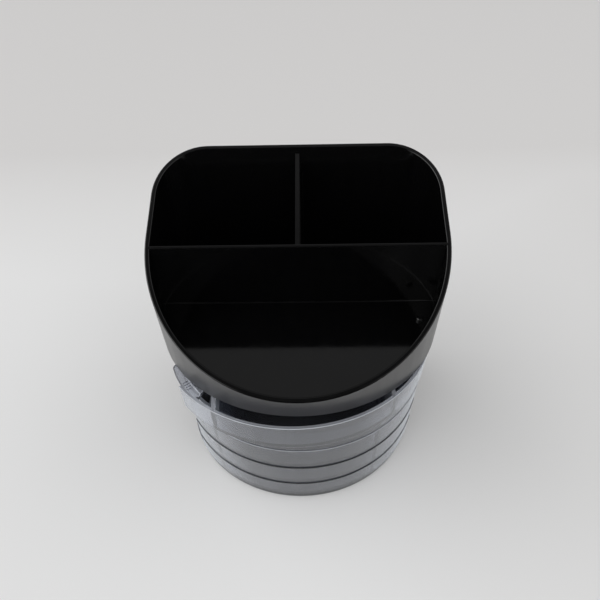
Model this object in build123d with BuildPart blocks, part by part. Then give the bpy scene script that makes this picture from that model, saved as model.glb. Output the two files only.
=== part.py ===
"""Desktop drawer organizer: a black pen holder with a slanted rim over five swing-out drawers.

x is right, y is back and z is up. Sizes below are measured from the centre of the round front.
Each finished piece is then moved so that the origin is on the table, in the middle of the whole
footprint with the top drawer open.
"""
import math
import os

from build123d import *

os.makedirs("parts", exist_ok=True)

# Body plan, given at the reference level and leaning in below it
front_radius = 62.0        # round front, outside
back_depth = 40.5          # from the centre of the round front to the rear face
rear_corner = 22.0         # radius of the two rear corners, outside
reference_level = 93.0     # height at which the plan sizes above hold
lean = 0.03                # how far each wall moves in per mm further down
wall = 2.0                 # shell thickness

# Rim: a slanted cut, high at the back
rim_level = 105.0          # height of the cut above the origin
rim_slant = 27.0           # degrees
rim_round = 0.5
rim_headroom = 15.0        # shell made this much too tall before the rim is cut

# Cross wall and tray
cross_wall_y = -5.0        # middle of the cross wall
cross_wall = 1.6
skirt_bottom = 65.7        # lower edge of the tray's skirt
tray_floor_top = 73.2
tray_floor = 2.2
tray_round = 0.6           # where the tray floor meets its walls

# Base and feet
foot_height = 0.6          # how far the feet stand proud of the base
base_thickness = 2.2
base_inset = 0.5           # base edge behind the lowest drawer's front
foot_radius = 4.5
foot_sink = 0.9
foot_play = 0.1
foot_side_inset = 26.0     # foot centres in from the round front's sides
foot_front_inset = 36.0
foot_rear_inset = 18.5

# Drawers
drawer_count = 5
drawer_pitch = 13.0
drawer_inset = 1.7         # drawer fronts behind the body's surface
drawer_front = 1.2         # front wall
drawer_wall = 1.6          # side and rear walls
drawer_floor = 1.6
drawer_left_inset = 25.5   # left side wall in from the body's left
drawer_right_inset = 29.0  # right side wall in from the body's right, which leaves room for the pivot
drawer_rear_gap = 1.7      # rear wall to the cross wall
stack_clearance = 0.3      # top drawer to the skirt above it
front_left_angle = 34.5    # the front wall's left end in front of the side line, degrees
front_right_angle = 22.3   # the front wall's right end in front of the side line, degrees
lip_out = 0.25
lip_height = 1.1
lip_round = 0.3
box_front = 1.0            # front wall where the box stands behind it
ear_wall = 1.2             # webs from the box to the pivot
open_angle = 7.5           # the top drawer stands open in the photograph

# Pull tab at the upper left of each drawer
tab_bend = 45.0            # radius of the tab's outer edge, tighter than the front wall
tab_join_angle = 50.0      # where that edge leaves the front wall, degrees in front of the side line
tab_inset = 0.25           # tab's edge behind the front wall's face there
tab_width = 3.8
tab_height = 1.8
tab_drop = 0.5             # tab's top below the drawer's top, and the height of its ribs
tab_tip_angle = 15.9       # middle of the round tip, turned about the tab's own centre, degrees
tab_root_angle = 39.0      # inner end, turned about the tab's own centre, degrees
tab_rib_angle = 28.5       # first rib, turned about the tab's own centre, degrees
tab_ribs = 4
tab_rib_pitch = 1.3
tab_rib_width = 0.6
tab_rib_length = 2.2
tab_round = 0.5

# Pivot
pivot_inset = 8.0          # rod in from the round front's surface
pivot_angle = 19.8         # rod in front of the side line, degrees
rod_radius = 1.0
rod_play = 0.06
sleeve_radius = 3.4
washer_thickness = 0.5
washer_radius = 3.2
washer_play = 0.05
boss_radius = 4.0
cap_radius = 1.5
cap_height = 1.4
rod_in_cap = 0.9
nut_radius = 2.3
nut_thickness = 0.5
nut_play = 0.2
nut_depth = 1.3
rod_below_nut = 0.4

# Divider and its guides
divider = 1.8
divider_play = 0.15
divider_drop_front = 1.0   # below the rim at the cross wall
divider_drop_rear = 2.0    # below the rim at the rear wall
guide_width = 1.2
guide_depth = 2.0
guide_drop = 8.0           # guides' tops below the divider's top edge

# Screws
screw_radius = 1.25
screw_play = 0.05
screw_head_radius = 2.5
screw_head_height = 1.0
screw_head_play = 0.25
screw_length = 9.0
post_radius = 3.2
post_height = 12.0
post_bite = 0.4            # how far a post runs into the wall beside it
rear_post_inset = 38.0     # rear posts in from the sides

# Closing stop
stop_inset = 5.4           # stop in from the drawers' left wall
stop_width = 2.0
stop_clearance = 0.3

base_bottom = foot_height
base_top = base_bottom + base_thickness
tray_floor_bottom = tray_floor_top - tray_floor
cross_front = cross_wall_y - cross_wall / 2
cross_rear = cross_wall_y + cross_wall / 2
washer_gap = washer_thickness + 2 * washer_play
drawer_left = drawer_left_inset - front_radius
drawer_right = front_radius - drawer_right_inset
drawer_rear = cross_front - drawer_rear_gap
pivot_x = (front_radius - pivot_inset) * math.cos(math.radians(pivot_angle))
pivot_y = -(front_radius - pivot_inset) * math.sin(math.radians(pivot_angle))
stack_top = skirt_bottom - stack_clearance
slant = math.tan(math.radians(rim_slant))
swing = math.radians(open_angle)
top_level = rim_level + slant * back_depth + rim_headroom


def shift(level):
    """How far the walls stand in from their reference place at a level."""
    return lean * (reference_level - level)


def body_radius(level):
    """Outer radius of the round front at a level."""
    return front_radius - shift(level)


def rear_face(level):
    """Outer y of the rear wall at a level."""
    return back_depth - shift(level)


def drawer_radius(level):
    """Outer radius of the drawer fronts at a level."""
    return body_radius(level) - drawer_inset


def shell_plan(level, inset):
    """Body outline at a level: half round in front, flat behind with rounded corners."""
    radius = body_radius(level) - inset
    back = rear_face(level) - inset
    corner = rear_corner - shift(level) - inset
    side = back - corner
    bend = corner * math.sqrt(0.5)
    with BuildSketch(Plane.XY.offset(level)) as plan:
        with BuildLine():
            ThreePointArc((-radius, 0), (0, -radius), (radius, 0))
            Line((radius, 0), (radius, side))
            ThreePointArc((radius, side), (radius - corner + bend, side + bend), (radius - corner, back))
            Line((radius - corner, back), (corner - radius, back))
            ThreePointArc((corner - radius, back), (corner - radius - bend, side + bend), (-radius, side))
            Line((-radius, side), (-radius, 0))
        make_face()
    return plan.sketch


def well_plan(level):
    """Inside outline of the rear well at a level."""
    radius = body_radius(level) - wall
    back = rear_face(level) - wall
    corner = rear_corner - shift(level) - wall
    side = back - corner
    bend = corner * math.sqrt(0.5)
    with BuildSketch(Plane.XY.offset(level)) as plan:
        with BuildLine():
            Line((-radius, cross_rear), (radius, cross_rear))
            Line((radius, cross_rear), (radius, side))
            ThreePointArc((radius, side), (radius - corner + bend, side + bend), (radius - corner, back))
            Line((radius - corner, back), (corner - radius, back))
            ThreePointArc((corner - radius, back), (corner - radius - bend, side + bend), (-radius, side))
            Line((-radius, side), (-radius, cross_rear))
        make_face()
    return plan.sketch


def front_plan(level, radius):
    """Half-round outline in front of the cross wall at a level."""
    half = math.sqrt(radius ** 2 - cross_front ** 2)
    with BuildSketch(Plane.XY.offset(level)) as plan:
        with BuildLine():
            ThreePointArc((-half, cross_front), (0, -radius), (half, cross_front))
            Line((half, cross_front), (-half, cross_front))
        make_face()
    return plan.sketch


def drawer_tab(high):
    """Pull tab under a drawer's top level: a curved strip with a round tip, and ribs across it."""
    join = math.pi + math.radians(tab_join_angle)
    reach = drawer_radius(high) - tab_bend
    centre = Vector(reach * math.cos(join), reach * math.sin(join))
    outer = tab_bend - tab_inset
    middle = outer - tab_width / 2
    start = math.pi + math.radians(tab_tip_angle)
    stop = math.pi + math.radians(tab_root_angle)
    bulge = tab_width / 2 / middle

    def turned(radius, angle):
        return centre + Vector(radius * math.cos(angle), radius * math.sin(angle))

    inner = outer - tab_width
    half = (start + stop) / 2
    with BuildPart() as tab:
        with BuildSketch(Plane.XY.offset(high - tab_drop - tab_height)):
            with BuildLine():
                ThreePointArc(turned(outer, start), turned(outer, half), turned(outer, stop))
                ThreePointArc(turned(outer, stop), turned(middle, stop + bulge), turned(inner, stop))
                ThreePointArc(turned(inner, stop), turned(inner, half), turned(inner, start))
                ThreePointArc(turned(inner, start), turned(middle, start - bulge), turned(outer, start))
            make_face()
        extrude(amount=tab_height)
        fillet(tab.edges().filter_by(Plane.XY), tab_round)
        with BuildSketch(Plane.XY.offset(high - tab_drop)):
            with Locations(centre):
                with PolarLocations(
                    middle,
                    tab_ribs,
                    start_angle=180 + tab_rib_angle,
                    angular_range=math.degrees((tab_ribs - 1) * tab_rib_pitch / middle),
                    endpoint=True,
                ):
                    Rectangle(tab_rib_length, tab_rib_width)
        extrude(amount=tab_drop)
    return tab.part


def drawer_block(low, high, inset_side, inset_front):
    """Half-round block between two levels: a cone trimmed to straight sides and a straight back."""
    left = drawer_left + inset_side
    right = drawer_right - inset_side
    with BuildPart() as block:
        with BuildSketch(Plane.XZ):
            with BuildLine():
                Polyline(
                    (0, low),
                    (drawer_radius(low) - inset_front, low),
                    (drawer_radius(high) - inset_front, high),
                    (0, high),
                    close=True,
                )
            make_face()
        revolve(axis=Axis.Z)
        with BuildSketch(Plane.XY.offset(low)):
            with Locations(((left + right) / 2, drawer_rear - inset_side)):
                Rectangle(right - left, 2 * front_radius, align=(Align.CENTER, Align.MAX))
        extrude(amount=high - low, mode=Mode.INTERSECT)
    return block.part


def drawer_front_wall(low, high):
    """Front wall of a drawer: a profile with a lip at its top, turned from the left end to the right."""
    lip_low = high - lip_height
    lip_start = lip_low - lip_out
    start_plane = Plane(
        origin=(0, 0, 0),
        x_dir=(math.cos(left_tip), math.sin(left_tip), 0),
        z_dir=(math.sin(left_tip), -math.cos(left_tip), 0),
    )
    with BuildPart() as front:
        with BuildSketch(start_plane) as profile:
            with BuildLine():
                Polyline(
                    (drawer_radius(low) - drawer_front, low),
                    (drawer_radius(low), low),
                    (drawer_radius(lip_start), lip_start),
                    (drawer_radius(lip_low) + lip_out, lip_low),
                    (drawer_radius(high) + lip_out, high),
                    (drawer_radius(high) - drawer_front, high),
                    close=True,
                )
            make_face()
            fillet(profile.vertices().group_by(Axis.Z)[-1], lip_round)
        revolve(axis=Axis.Z, revolution_arc=math.degrees(right_tip - left_tip))
    return front.part


def guide_plan(level, place):
    """Outline of one divider guide on the rear wall at a level."""
    with BuildSketch(Plane.XY.offset(level)) as plan:
        with Locations((place, rear_face(level) - wall / 2)):
            Rectangle(guide_width, wall / 2 + guide_depth, align=(Align.CENTER, Align.MAX))
    return plan.sketch


# Footprint: the rim's rear edge to the front of the open top drawer
rear_reach = (back_depth - shift(rim_level)) / (1 - lean * slant)
open_centre_y = pivot_y - pivot_x * math.sin(swing) - pivot_y * math.cos(swing)
front_reach = open_centre_y - drawer_radius(stack_top) - lip_out
to_frame = Location((0, -(rear_reach + front_reach) / 2, 0))

front_posts_x = body_radius(base_top) - wall - post_radius + post_bite
front_posts_y = cross_rear + post_radius - post_bite
rear_posts_y = rear_face(base_top) - wall - post_radius + post_bite
posts = [
    (-front_posts_x, front_posts_y),
    (front_posts_x, front_posts_y),
    (rear_post_inset - front_radius, rear_posts_y),
    (front_radius - rear_post_inset, rear_posts_y),
]
left_tip = math.pi + math.radians(front_left_angle)
right_tip = 2 * math.pi - math.radians(front_right_angle)
rim_plane = Plane(
    origin=(0, 0, rim_level),
    x_dir=(1, 0, 0),
    z_dir=(0, -math.sin(math.radians(rim_slant)), math.cos(math.radians(rim_slant))),
)

# Body: one leaning shell, cut by the slanted rim, with the rear well and the tray hollowed out of it
with BuildPart() as body:
    loft([shell_plan(base_top, 0), shell_plan(top_level, 0)], ruled=True)
    loft([well_plan(base_top), well_plan(top_level)], ruled=True, mode=Mode.SUBTRACT)
    loft(
        [
            front_plan(tray_floor_top, body_radius(tray_floor_top) - wall),
            front_plan(top_level, body_radius(top_level) - wall),
        ],
        ruled=True,
        mode=Mode.SUBTRACT,
    )
    fillet(body.edges().filter_by_position(Axis.Z, tray_floor_top, tray_floor_top), tray_round)
    loft(
        [
            front_plan(skirt_bottom, body_radius(skirt_bottom) - wall),
            front_plan(tray_floor_bottom, body_radius(tray_floor_bottom) - wall),
        ],
        ruled=True,
        mode=Mode.SUBTRACT,
    )
    with BuildSketch(Plane.XY.offset(base_top)):
        with Locations((0, cross_front)):
            Rectangle(3 * front_radius, 2 * front_radius, align=(Align.CENTER, Align.MAX))
    extrude(amount=skirt_bottom - base_top, mode=Mode.SUBTRACT)
    with BuildSketch(rim_plane):
        Rectangle(4 * front_radius, 6 * front_radius)
    extrude(amount=top_level, mode=Mode.SUBTRACT)
    fillet(body.faces().filter_by(rim_plane).edges(), rim_round)
    # closing stop on the cross wall
    with BuildSketch(Plane.XY.offset(base_top)):
        with Locations((drawer_left + stop_inset, cross_front)):
            Rectangle(stop_width, drawer_rear_gap - stop_clearance, align=(Align.CENTER, Align.MAX))
    extrude(amount=tray_floor_bottom - base_top)
    # upper bearing of the rod
    with BuildSketch(Plane.XY.offset(stack_top + washer_gap)):
        with Locations((pivot_x, pivot_y)):
            Circle(boss_radius)
    extrude(amount=tray_floor_bottom - stack_top - washer_gap)
    with BuildSketch(Plane.XY.offset(stack_top)):
        with Locations((pivot_x, pivot_y)):
            Circle(rod_radius)
    extrude(amount=tray_floor_top - stack_top, mode=Mode.SUBTRACT)
    # screw posts in the corners of the well
    with BuildSketch(Plane.XY.offset(base_top)):
        with Locations(*posts):
            Circle(post_radius)
    extrude(amount=post_height)
    with BuildSketch(Plane.XY.offset(base_top)):
        with Locations(*posts):
            Circle(screw_radius + screw_play)
    extrude(amount=screw_length, mode=Mode.SUBTRACT)
    # guides for the divider
    for side in (-1, 1):
        guide_x = side * (divider / 2 + divider_play + guide_width / 2)
        with BuildSketch(Plane.XY.offset(base_top)):
            with Locations((guide_x, cross_wall_y)):
                Rectangle(guide_width, cross_wall / 2 + guide_depth, align=(Align.CENTER, Align.MIN))
        extrude(amount=rim_level - divider_drop_front - guide_drop - base_top)
        guide_front = rear_face(rim_level) - wall - guide_depth
        guide_top = rim_level + slant * guide_front - divider_drop_rear - guide_drop
        loft([guide_plan(level, guide_x) for level in (base_top, guide_top)], ruled=True)
body.part.label = "body"
export_step(body.part.moved(to_frame), "parts/body.step")

# Divider plate in the guides of the rear well
divider_front = cross_rear + divider_play
divider_front_top = rim_level + slant * divider_front - divider_drop_front
divider_rear_low = rear_face(base_top) - wall - divider_play
divider_rear_top_y = rear_face(rim_level) - wall - divider_play
divider_rear_top = rim_level + slant * divider_rear_top_y - divider_drop_rear
divider_rear_y = rear_face(divider_rear_top) - wall - divider_play
with BuildPart() as well_divider:
    with BuildSketch(Plane.YZ):
        with BuildLine():
            Polyline(
                (divider_front, base_top),
                (divider_rear_low, base_top),
                (divider_rear_y, divider_rear_top),
                (divider_front, divider_front_top),
                close=True,
            )
        make_face()
    extrude(amount=divider / 2, both=True)
well_divider.part.label = "well_divider"
export_step(well_divider.part.moved(to_frame), "parts/well_divider.step")

# Base plate: half round under the drawers, the body's own outline under the well
base_radius = drawer_radius(base_top) - base_inset
foot_x = front_radius - foot_side_inset
foot_front_y = foot_front_inset - front_radius
foot_rear_y = back_depth - foot_rear_inset
feet = [(-foot_x, foot_front_y), (foot_x, foot_front_y), (-foot_x, foot_rear_y), (foot_x, foot_rear_y)]
with BuildPart() as base_plate:
    with BuildSketch(Plane.XY.offset(base_bottom)) as base_plan:
        add(shell_plan(base_top, 0).moved(Location((0, 0, -base_top))))
        with Locations((0, cross_front)):
            Rectangle(
                3 * front_radius, 2 * front_radius, align=(Align.CENTER, Align.MAX), mode=Mode.SUBTRACT
            )
        add(front_plan(0, base_radius))
    extrude(amount=base_thickness)
    with BuildSketch(Plane.XY.offset(base_bottom)):
        with Locations(*feet):
            Circle(foot_radius + foot_play)
    extrude(amount=foot_sink, mode=Mode.SUBTRACT)
    with BuildSketch(Plane.XY.offset(base_bottom)):
        with Locations(*posts):
            Circle(screw_head_radius + screw_head_play)
    extrude(amount=screw_head_height, mode=Mode.SUBTRACT)
    with BuildSketch(Plane.XY.offset(base_bottom)):
        with Locations(*posts):
            Circle(screw_radius + screw_play)
        with Locations((pivot_x, pivot_y)):
            Circle(rod_radius)
    extrude(amount=base_thickness, mode=Mode.SUBTRACT)
    with BuildSketch(Plane.XY.offset(base_bottom)):
        with Locations((pivot_x, pivot_y)):
            Circle(nut_radius + nut_play)
    extrude(amount=nut_depth, mode=Mode.SUBTRACT)
base_plate.part.label = "base_plate"
export_step(base_plate.part.moved(to_frame), "parts/base_plate.step")

# Rubber feet in their sinks
for number, place in enumerate(feet, start=1):
    with BuildPart() as foot:
        with BuildSketch():
            with Locations(place):
                Circle(foot_radius)
        extrude(amount=foot_height + foot_sink)
        fillet(foot.edges().group_by(Axis.Z)[0], foot_height / 2)
    foot.part.label = f"foot_{number}"
    export_step(foot.part.moved(to_frame), f"parts/foot_{number}.step")

# Four screws up into the posts
with BuildPart() as base_screws:
    with BuildSketch(Plane.XY.offset(base_bottom)):
        with Locations(*posts):
            Circle(screw_head_radius)
    extrude(amount=screw_head_height)
    with BuildSketch(Plane.XY.offset(base_bottom + screw_head_height)):
        with Locations(*posts):
            Circle(screw_radius)
    extrude(amount=screw_length - screw_head_height)
base_screws.part.label = "base_screws"
export_step(base_screws.part.moved(to_frame), "parts/base_screws.step")

# Pivot rod, its cap on the tray floor and the push nut under the base
nut_bottom = base_bottom + nut_depth - nut_thickness
rod_bottom = nut_bottom - rod_below_nut
rod_top = tray_floor_top + rod_in_cap
with BuildPart() as pivot_rod:
    with BuildSketch(Plane.XY.offset(rod_bottom)):
        with Locations((pivot_x, pivot_y)):
            Circle(rod_radius)
    extrude(amount=rod_top - rod_bottom)
pivot_rod.part.label = "pivot_rod"
export_step(pivot_rod.part.moved(to_frame), "parts/pivot_rod.step")

with BuildPart() as pivot_cap:
    with BuildSketch(Plane.XY.offset(tray_floor_top)):
        with Locations((pivot_x, pivot_y)):
            Circle(cap_radius)
    extrude(amount=cap_height)
    fillet(pivot_cap.edges().group_by(Axis.Z)[-1], min(0.6 * cap_height, 0.4 * cap_radius))
    with BuildSketch(Plane.XY.offset(tray_floor_top)):
        with Locations((pivot_x, pivot_y)):
            Circle(rod_radius)
    extrude(amount=rod_in_cap, mode=Mode.SUBTRACT)
pivot_cap.part.label = "pivot_cap"
export_step(pivot_cap.part.moved(to_frame), "parts/pivot_cap.step")

with BuildPart() as push_nut:
    with BuildSketch(Plane.XY.offset(nut_bottom)):
        with Locations((pivot_x, pivot_y)):
            Circle(nut_radius)
            Circle(rod_radius, mode=Mode.SUBTRACT)
    extrude(amount=nut_thickness)
push_nut.part.label = "push_nut"
export_step(push_nut.part.moved(to_frame), "parts/push_nut.step")

# Drawers, counted from the top. The lowest one gives up height to the base plate.
drawer_tops = [stack_top - drawer_pitch * step for step in range(drawer_count)]
drawer_bottoms = [top - drawer_pitch + washer_gap for top in drawer_tops]
drawer_bottoms[-1] = base_top + washer_gap
pivot_axis = Axis((pivot_x, pivot_y, 0), (0, 0, 1))

for number in range(drawer_count):
    low = drawer_bottoms[number]
    high = drawer_tops[number]
    middle = drawer_radius(low) - drawer_front / 2
    tip_turn = right_tip - drawer_front / middle
    tip = (middle * math.cos(tip_turn), middle * math.sin(tip_turn))
    front_corner = (drawer_right - drawer_wall / 2, -math.sqrt(middle ** 2 - drawer_right ** 2))
    rear_corner_place = (drawer_right - drawer_wall / 2, drawer_rear - drawer_wall / 2 - ear_wall / 4)
    outside = drawer_block(low, high, 0, drawer_front / 2)
    inside = drawer_block(low + drawer_floor, high, drawer_wall, box_front)
    front_wall = drawer_front_wall(low, high)
    pull_tab = drawer_tab(high)
    with BuildPart() as drawer:
        # box with its floor, the front wall carried past the box to both sides, and the pull tab
        add(outside)
        add(front_wall)
        add(pull_tab)
        add(inside, mode=Mode.SUBTRACT)
        # ear that runs to the pivot: a floor with a web along its back and one along its side
        with BuildSketch(Plane.XY.offset(low)):
            with Locations((pivot_x, pivot_y)):
                Circle(sleeve_radius - ear_wall / 4)
            with Locations(tip, front_corner, rear_corner_place):
                Circle(drawer_wall / 4)
            make_hull()
        extrude(amount=drawer_floor)
        for far_end in (rear_corner_place, tip):
            with BuildSketch(Plane.XY.offset(low)):
                with Locations((pivot_x, pivot_y), far_end):
                    Circle(ear_wall / 2)
                make_hull()
            extrude(amount=high - low)
        # sleeve on the rod
        with BuildSketch(Plane.XY.offset(low)):
            with Locations((pivot_x, pivot_y)):
                Circle(sleeve_radius)
        extrude(amount=high - low)
        with BuildSketch(Plane.XY.offset(low)):
            with Locations((pivot_x, pivot_y)):
                Circle(rod_radius + rod_play)
        extrude(amount=high - low, mode=Mode.SUBTRACT)
    swung = drawer.part.rotate(pivot_axis, open_angle if number == 0 else 0)
    swung.label = f"drawer_{number + 1}"
    export_step(swung.moved(to_frame), f"parts/drawer_{number + 1}.step")

# Washers on the rod, one under each drawer and one over the top drawer
washer_levels = [low - washer_gap + washer_play for low in drawer_bottoms] + [stack_top + washer_play]
for number, level in enumerate(washer_levels, start=1):
    with BuildPart() as washer:
        with BuildSketch(Plane.XY.offset(level)):
            with Locations((pivot_x, pivot_y)):
                Circle(washer_radius)
                Circle(rod_radius + rod_play, mode=Mode.SUBTRACT)
        extrude(amount=washer_thickness)
    washer.part.label = f"washer_{number}"
    export_step(washer.part.moved(to_frame), f"parts/washer_{number}.step")
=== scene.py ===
"""Looks of the desktop drawer organizer: gloss black holder, smoky clear drawers, pale table."""
import math

import bpy
from mathutils import Matrix, Vector

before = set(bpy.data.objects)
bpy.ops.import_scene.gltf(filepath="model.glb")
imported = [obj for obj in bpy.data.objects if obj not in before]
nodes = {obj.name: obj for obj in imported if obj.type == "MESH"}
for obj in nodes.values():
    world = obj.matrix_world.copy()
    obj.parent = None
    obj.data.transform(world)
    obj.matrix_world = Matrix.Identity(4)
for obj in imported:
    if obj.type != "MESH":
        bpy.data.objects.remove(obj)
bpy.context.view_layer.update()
scene = bpy.context.scene


def top_of(name):
    """Height of a node's highest point in metres."""
    return max(vertex.co.z for vertex in nodes[name].data.vertices)


# Places on the part
tray_middle = -0.0075               # y of the middle of the holder's outline
lowest_top = top_of("drawer_5")
drawer_pitch = top_of("drawer_4") - lowest_top
base_top = top_of("base_plate")

# Painted light on the drawers: highlights on the top edges, shade at the seams and paler ends
edge_height = 0.0008                # strip below a drawer's top
rounding_start = 0.0004             # where the lip's rounding starts in that strip
rounding_fade = 0.0001
seam_height = 0.0020                # from the foot of that strip up over the seam to the next drawer
seam_limit = 0.0385                 # painted seam shade lies below this height, painted edge highlights above it
strip_fade = 0.0002
limit_fade = 0.0004
flat_top_share = 0.42
end_inner = 0.022                   # painted light: the fronts grow paler from here towards each end
end_outer = 0.033
right_end_share = 0.5
tab_start = -0.046                  # the left end's painted light fades out before the pull tab
tab_clear = -0.040

# Upward parts of a face's normal, as ranges over which it turns upright, tilted, level or steep
upright_range = (0.2, 0.5)
tilted_range = (0.2, 0.4)
level_range = (0.85, 0.97)
steep_range = (0.8, 0.95)

relief = 0.0002                     # height of the fine surface relief


def new_material(name):
    """Node material with an empty tree apart from its shader and output."""
    material = bpy.data.materials.new(name)
    material.use_nodes = True
    tree = material.node_tree
    tree.nodes.clear()
    output = tree.nodes.new("ShaderNodeOutputMaterial")
    shader = tree.nodes.new("ShaderNodeBsdfPrincipled")
    tree.links.new(shader.outputs["BSDF"], output.inputs["Surface"])
    return material, tree, shader


def noise(tree, scale, detail, stretch=(1, 1, 1)):
    """Noise in the object's own metres, as a value from 0 to 1."""
    place = tree.nodes.new("ShaderNodeTexCoord")
    mapping = tree.nodes.new("ShaderNodeMapping")
    mapping.inputs["Scale"].default_value = stretch
    texture = tree.nodes.new("ShaderNodeTexNoise")
    texture.inputs["Scale"].default_value = scale
    texture.inputs["Detail"].default_value = detail
    tree.links.new(place.outputs["Object"], mapping.inputs["Vector"])
    tree.links.new(mapping.outputs["Vector"], texture.inputs["Vector"])
    return texture.outputs["Fac"]


def span(tree, value, low, high, from_low=0.3, from_high=0.7):
    """Value stretched from one range to another, and held at its ends."""
    node = tree.nodes.new("ShaderNodeMapRange")
    node.inputs["From Min"].default_value = from_low
    node.inputs["From Max"].default_value = from_high
    node.inputs["To Min"].default_value = low
    node.inputs["To Max"].default_value = high
    tree.links.new(value, node.inputs["Value"])
    return node.outputs["Result"]


def calc(tree, operation, first, second):
    """Sum, product or the like of a value and either a number or another value."""
    node = tree.nodes.new("ShaderNodeMath")
    node.operation = operation
    tree.links.new(first, node.inputs[0])
    if isinstance(second, (int, float)):
        node.inputs[1].default_value = second
    else:
        tree.links.new(second, node.inputs[1])
    return node.outputs["Value"]


def blend(tree, share, first, second):
    """Colour that runs between two colours, each of them fixed or made by other nodes."""
    node = tree.nodes.new("ShaderNodeMix")
    node.data_type = "RGBA"
    tree.links.new(share, node.inputs["Factor"])
    for socket, colour in (("A", first), ("B", second)):
        if isinstance(colour, tuple):
            node.inputs[socket].default_value = (*colour, 1)
        else:
            tree.links.new(colour, node.inputs[socket])
    return node.outputs["Result"]


def between(tree, share, first, second):
    """Value that runs from one value to another, the second of them fixed or made by other nodes."""
    node = tree.nodes.new("ShaderNodeMix")
    node.data_type = "FLOAT"
    tree.links.new(share, node.inputs["Factor"])
    tree.links.new(first, node.inputs["A"])
    if isinstance(second, (int, float)):
        node.inputs["B"].default_value = second
    else:
        tree.links.new(second, node.inputs["B"])
    return node.outputs["Result"]


def bump(tree, shader, value, strength):
    """Fine surface relief."""
    node = tree.nodes.new("ShaderNodeBump")
    node.inputs["Strength"].default_value = strength
    node.inputs["Distance"].default_value = relief
    tree.links.new(value, node.inputs["Height"])
    tree.links.new(node.outputs["Normal"], shader.inputs["Normal"])


def spot_and_facing(tree):
    """Place on the object and the surface's normal there, each split into x, y and z."""
    place = tree.nodes.new("ShaderNodeTexCoord")
    spot = tree.nodes.new("ShaderNodeSeparateXYZ")
    facing = tree.nodes.new("ShaderNodeSeparateXYZ")
    tree.links.new(place.outputs["Object"], spot.inputs["Vector"])
    tree.links.new(place.outputs["Normal"], facing.inputs["Vector"])
    return spot.outputs, facing.outputs


def ray_kind(tree, kind):
    """1 for rays of one kind and 0 for the others."""
    return tree.nodes.new("ShaderNodeLightPath").outputs[kind]


def outside_share(tree):
    """1 on the holder's upright outer faces and 0 on its inner faces and rim."""
    edge_blur = 0.002
    place = tree.nodes.new("ShaderNodeTexCoord")
    offset = tree.nodes.new("ShaderNodeVectorMath")
    offset.operation = "SUBTRACT"
    offset.inputs[1].default_value = (0, tray_middle, 0)
    flat = tree.nodes.new("ShaderNodeVectorMath")
    flat.operation = "MULTIPLY"
    flat.inputs[1].default_value = (1, 1, 0)
    outward = tree.nodes.new("ShaderNodeVectorMath")
    outward.operation = "DOT_PRODUCT"
    tree.links.new(place.outputs["Object"], offset.inputs[0])
    tree.links.new(offset.outputs["Vector"], flat.inputs[0])
    tree.links.new(flat.outputs["Vector"], outward.inputs[0])
    tree.links.new(place.outputs["Normal"], outward.inputs[1])
    _, facing = spot_and_facing(tree)
    outer = span(tree, outward.outputs["Value"], 0, 1, -edge_blur, edge_blur)
    return calc(tree, "MULTIPLY", outer, span(tree, facing["Z"], 1, 0, *upright_range))


def gloss_black():
    """Moulded black polystyrene: mirror gloss inside, softer outside, with rubbed patches and a ripple.
    Its outer faces get a paler base colour than its inner faces, as painted light.
    """
    material, tree, shader = new_material("gloss_black")
    shader.inputs["IOR"].default_value = 1.59
    shader.inputs["Specular IOR Level"].default_value = 1.0
    outside = outside_share(tree)
    patches = noise(tree, scale=45, detail=3)
    inner_tint = blend(tree, patches, (0.0008, 0.0008, 0.0009), (0.002, 0.002, 0.0022))
    # Painted light: the outer faces get a paler base colour than the inner faces, which brightens them
    outer_painted_light_tint = blend(tree, patches, (0.012, 0.012, 0.0125), (0.018, 0.018, 0.0185))
    tree.links.new(blend(tree, outside, inner_tint, outer_painted_light_tint), shader.inputs["Base Color"])
    scuffs = noise(tree, scale=180, detail=4, stretch=(1, 1, 0.15))
    inner_gloss = span(tree, scuffs, 0.07, 0.13)
    outer_gloss = span(tree, scuffs, 0.27, 0.36)
    tree.links.new(between(tree, outside, inner_gloss, outer_gloss), shader.inputs["Roughness"])
    bump(tree, shader, noise(tree, scale=320, detail=1), 0.04)
    return material


def painted_edge_highlight_share(tree):
    """Painted highlight: 1 on the rounding at the top of the upper three drawers, less on narrow flat
    tops, 0 elsewhere.
    """
    spot, facing = spot_and_facing(tree)
    above = calc(tree, "SUBTRACT", spot["Z"], lowest_top - edge_height)
    level = calc(tree, "MODULO", above, drawer_pitch)
    near_top = span(tree, level, 1, 0, edge_height, edge_height + strip_fade)
    flat = span(tree, facing["Z"], 0, 1, *level_range)
    tilted = calc(tree, "SUBTRACT", span(tree, facing["Z"], 0, 1, *tilted_range), flat)
    on_rounding = span(tree, level, 0, 1, rounding_start, rounding_start + rounding_fade)
    rounding = calc(tree, "MULTIPLY", tilted, on_rounding)
    edge = calc(tree, "ADD", rounding, calc(tree, "MULTIPLY", flat, flat_top_share))
    upper = span(tree, spot["Z"], 0, 1, seam_limit - limit_fade, seam_limit)
    return calc(tree, "MULTIPLY", upper, calc(tree, "MULTIPLY", near_top, edge))


def painted_end_light_share(tree):
    """Painted light: 1 at the left end of a drawer's front, less at its right end and 0 between and at the
    tab.
    """
    spot, _ = spot_and_facing(tree)
    left = span(tree, spot["X"], 1, 0, -end_outer, -end_inner)
    short_of_tab = span(tree, spot["X"], 0, 1, tab_start, tab_clear)
    right = span(tree, spot["X"], 0, right_end_share, end_inner, end_outer)
    return calc(tree, "ADD", calc(tree, "MULTIPLY", left, short_of_tab), right)


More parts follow.
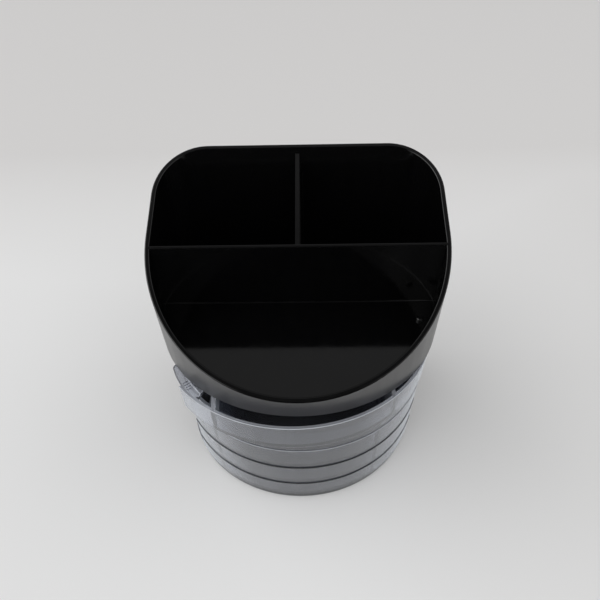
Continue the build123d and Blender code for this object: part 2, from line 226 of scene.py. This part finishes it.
def painted_seam_shade_share(tree):
    """Painted shade: 1 along the seams between the lower drawers and on the edge of the base, and 0
    elsewhere.
    """
    spot, facing = spot_and_facing(tree)
    above = calc(tree, "SUBTRACT", spot["Z"], lowest_top - edge_height - drawer_pitch)
    level = calc(tree, "MODULO", above, drawer_pitch)
    near_seam = span(tree, level, 1, 0, seam_height, seam_height + strip_fade)
    lower = span(tree, spot["Z"], 1, 0, seam_limit - limit_fade, seam_limit)
    seams = calc(tree, "MULTIPLY", near_seam, lower)
    base_edge = span(tree, spot["Z"], 1, 0, base_top, base_top + limit_fade)
    steep = span(tree, calc(tree, "ABSOLUTE", facing["Z"], 0), 1, 0, *steep_range)
    return calc(tree, "MULTIPLY", steep, calc(tree, "MAXIMUM", seams, base_edge))


def smoky_clear():
    """Clear polystyrene with a grey smoke tint, with painted light: paler ends, painted highlights on the
    top edges and painted shade at the seams.
    """
    front_clarity = 0.93                # share of light let through, by the walls and by the painted edge highlights
    highlight_clarity = 0.4
    material, tree, shader = new_material("smoky_clear")
    shader.inputs["IOR"].default_value = 1.5
    shader.inputs["Coat Weight"].default_value = 0.55
    shader.inputs["Coat IOR"].default_value = 1.6
    shader.inputs["Coat Roughness"].default_value = 0.05
    shader.inputs["Sheen Weight"].default_value = 1.0
    shader.inputs["Sheen Roughness"].default_value = 0.3
    shader.inputs["Sheen Tint"].default_value = (0.86, 0.92, 1.0, 1)
    absorption = tree.nodes.new("ShaderNodeVolumeAbsorption")
    absorption.inputs["Color"].default_value = (0.30, 0.31, 0.35, 1)
    absorption.inputs["Density"].default_value = 60
    tree.links.new(absorption.outputs["Volume"], tree.nodes["Material Output"].inputs["Volume"])
    painted_highlights = painted_edge_highlight_share(tree)
    streaks = span(tree, noise(tree, scale=160, detail=3, stretch=(1, 1, 0.06)), 0, 1)
    middle_tint = blend(tree, streaks, (0.41, 0.425, 0.475), (0.50, 0.515, 0.57))
    # Painted light: a paler tint towards the ends of the fronts
    painted_end_light_tint = blend(tree, streaks, (0.72, 0.75, 0.83), (0.80, 0.83, 0.90))
    tint = blend(tree, painted_end_light_share(tree), middle_tint, painted_end_light_tint)
    # Painted highlight: pale tint and less light let through along the upper drawers' top edges
    tint = blend(tree, painted_highlights, tint, (0.80, 0.83, 0.89))
    # Painted shade: near black along the seams between the lower drawers and on the base's edge
    tint = blend(tree, painted_seam_shade_share(tree), tint, (0.03, 0.03, 0.035))
    tree.links.new(tint, shader.inputs["Base Color"])
    clarity = span(tree, painted_highlights, front_clarity, highlight_clarity, 0, 1)
    tree.links.new(clarity, shader.inputs["Transmission Weight"])
    scuffs = noise(tree, scale=140, detail=4, stretch=(1, 1, 0.2))
    tree.links.new(span(tree, scuffs, 0.05, 0.12), shader.inputs["Roughness"])
    bump(tree, shader, noise(tree, scale=700, detail=3, stretch=(0.04, 0.04, 1)), 0.03)
    return material


def zinc_steel():
    """Plated steel with turned streaks."""
    material, tree, shader = new_material("zinc_steel")
    shader.inputs["Metallic"].default_value = 1.0
    streaks = noise(tree, scale=900, detail=3, stretch=(1, 1, 0.05))
    tint = blend(tree, streaks, (0.5, 0.51, 0.53), (0.62, 0.62, 0.62))
    tree.links.new(tint, shader.inputs["Base Color"])
    tree.links.new(span(tree, streaks, 0.24, 0.38), shader.inputs["Roughness"])
    return material


def grained(name, first, second, smooth, rough, grain):
    """Matt moulded or rubber surface with grain, given as a noise scale."""
    patch_width = 12                    # patches of tint and of wear, as multiples of the grain's width
    wear_width = 3
    material, tree, shader = new_material(name)
    patches = noise(tree, scale=grain / patch_width, detail=3)
    tree.links.new(blend(tree, patches, first, second), shader.inputs["Base Color"])
    worn = noise(tree, scale=grain / wear_width, detail=3)
    tree.links.new(span(tree, worn, smooth, rough), shader.inputs["Roughness"])
    bump(tree, shader, noise(tree, scale=grain, detail=2), 0.2)
    return material


def dress(names, material):
    """Gives nodes their material."""
    for name in names:
        nodes[name].data.materials.clear()
        nodes[name].data.materials.append(material)


def table_paper():
    """Pale table, with painted shade making it a little darker far back and far right. Glossy faces mirror
    it only near the part.
    """
    dim_back = (0.12, 0.36)             # y over which painted shade darkens the table towards the back
    dim_right = (0.04, 0.26)            # x over which painted shade darkens it towards the right
    dim_right_share = 0.7
    mirrored_front = (-0.22, -0.17)     # y over which glossy faces lose sight of the table in front
    material, tree, shader = new_material("paper")
    shader.inputs["Roughness"].default_value = 0.75
    place = tree.nodes.new("ShaderNodeNewGeometry")
    spot = tree.nodes.new("ShaderNodeSeparateXYZ")
    tree.links.new(place.outputs["Position"], spot.inputs["Vector"])
    far_back = span(tree, spot.outputs["Y"], 0, 1, *dim_back)
    far_right = span(tree, spot.outputs["X"], 0, dim_right_share, *dim_right)
    painted_shade_share = calc(tree, "MAXIMUM", far_back, far_right)
    near_tint = blend(tree, noise(tree, scale=3, detail=3), (0.80, 0.80, 0.80), (0.83, 0.83, 0.83))
    # Painted shade: the table's tint darkens towards the back and the right
    tree.links.new(blend(tree, painted_shade_share, near_tint, (0.685, 0.675, 0.67)), shader.inputs["Base Color"])
    far_front = span(tree, spot.outputs["Y"], 1, 0, *mirrored_front)
    unseen = calc(tree, "MULTIPLY", far_front, ray_kind(tree, "Is Glossy Ray"))
    unlit = tree.nodes.new("ShaderNodeBsdfDiffuse")
    unlit.inputs["Color"].default_value = (0.01, 0.01, 0.01, 1)
    mix = tree.nodes.new("ShaderNodeMixShader")
    tree.links.new(unseen, mix.inputs["Fac"])
    tree.links.new(shader.outputs["BSDF"], mix.inputs[1])
    tree.links.new(unlit.outputs["BSDF"], mix.inputs[2])
    tree.links.new(mix.outputs["Shader"], tree.nodes["Material Output"].inputs["Surface"])
    return material


def sky_glow(tree, way, azimuth, elevation, inner, outer, strength):
    """Round soft glow in the sky, full inside one angle from its middle and gone at another."""
    turn = math.radians(azimuth)
    rise = math.radians(elevation)
    facing = tree.nodes.new("ShaderNodeVectorMath")
    facing.operation = "DOT_PRODUCT"
    facing.inputs[1].default_value = (
        math.cos(turn) * math.cos(rise), math.sin(turn) * math.cos(rise), math.sin(rise)
    )
    tree.links.new(way, facing.inputs[0])
    fade = tree.nodes.new("ShaderNodeMapRange")
    fade.interpolation_type = "SMOOTHSTEP"
    fade.inputs["From Min"].default_value = math.cos(math.radians(outer))
    fade.inputs["From Max"].default_value = math.cos(math.radians(inner))
    fade.inputs["To Max"].default_value = strength
    tree.links.new(facing.outputs["Value"], fade.inputs["Value"])
    return fade.outputs["Result"]


def sky_sum(tree, way, glows):
    """All glows of a list added up."""
    total = sky_glow(tree, way, *glows[0])
    for glow in glows[1:]:
        total = calc(tree, "ADD", total, sky_glow(tree, way, *glow))
    return total


# Finish of every node
dress(("body", "well_divider", "pivot_cap"), gloss_black())
dress(["base_plate"] + [name for name in nodes if name.startswith("drawer_")], smoky_clear())
dress(("base_screws", "pivot_rod", "push_nut"), zinc_steel())
dress(
    [name for name in nodes if name.startswith("washer_")],
    grained("nylon", (0.7, 0.69, 0.65), (0.78, 0.77, 0.73), smooth=0.4, rough=0.55, grain=1200),
)
dress(
    [name for name in nodes if name.startswith("foot_")],
    grained("rubber", (0.012, 0.012, 0.012), (0.022, 0.022, 0.022), smooth=0.6, rough=0.8, grain=1800),
)

# Floor: one pale table top
half = 4.0
corners = [(-half, -half, 0), (half, -half, 0), (half, half, 0), (-half, half, 0)]
floor_mesh = bpy.data.meshes.new("floor")
floor_mesh.from_pydata(corners, [], [(0, 1, 2, 3)])
floor_mesh.materials.append(table_paper())
floor = bpy.data.objects.new("floor", floor_mesh)
scene.collection.objects.link(floor)

# Soft light. Each glow is an azimuth from +x towards +y, an elevation, the angles over which it fades,
# all in degrees, and a strength. Glossy faces mirror a darker sky, and the camera sees a plain backdrop.
table_glows = [(0, 90, 60, 120, 0.34), (-90, 30, 20, 75, 0.6)]
mirrored_glows = [(90, 5, 45, 95, 0.12), (0, 90, 8, 40, 0.03)]
side_elevation = 30
side_inner = 8
side_outer = 38
# Glows low at both sides, stronger at the left: azimuth, strength on the table, strength when mirrored
side_glows = ((160, 1.2, 0.65), (204, 1.4, 0.8), (20, 0.55, 0.22), (-24, 0.7, 0.28))
for azimuth, strength, mirrored_strength in side_glows:
    table_glows.append((azimuth, side_elevation, side_inner, side_outer, strength))
    mirrored_glows.append((azimuth, side_elevation, side_inner, side_outer, mirrored_strength))
backdrop_strength = 0.62
world = bpy.data.worlds.new("studio")
scene.world = world
world.use_nodes = True
sky_tree = world.node_tree
sky_tree.nodes.clear()
sky_out = sky_tree.nodes.new("ShaderNodeOutputWorld")
sky = sky_tree.nodes.new("ShaderNodeBackground")
sky.inputs["Color"].default_value = (1.0, 1.0, 1.0, 1)
sky_way = sky_tree.nodes.new("ShaderNodeTexCoord").outputs["Generated"]
table_sky = sky_sum(sky_tree, sky_way, table_glows)
mirrored_sky = sky_sum(sky_tree, sky_way, mirrored_glows)
lit_sky = between(sky_tree, ray_kind(sky_tree, "Is Glossy Ray"), table_sky, mirrored_sky)
seen_sky = between(sky_tree, ray_kind(sky_tree, "Is Camera Ray"), lit_sky, backdrop_strength)
sky_tree.links.new(seen_sky, sky.inputs["Strength"])
sky_tree.links.new(sky.outputs["Background"], sky_out.inputs["Surface"])

# Camera where the photograph was taken from
camera_place = (0.004049, -0.151583, 0.205839)
camera_right = Vector((0.999803, 0.006107, -0.018874))
camera_up = Vector((0.010614, 0.639119, 0.769035))
camera = bpy.data.cameras.new("camera")
camera.sensor_fit = "HORIZONTAL"
camera.sensor_width = 36.0
camera.lens = 28.037
camera.clip_start = 0.01
camera_object = bpy.data.objects.new("camera", camera)
camera_axes = Matrix((camera_right, camera_up, camera_right.cross(camera_up))).transposed().to_4x4()
camera_object.matrix_world = Matrix.Translation(camera_place) @ camera_axes
scene.collection.objects.link(camera_object)
scene.camera = camera_object
scene.view_settings.view_transform = "Standard"
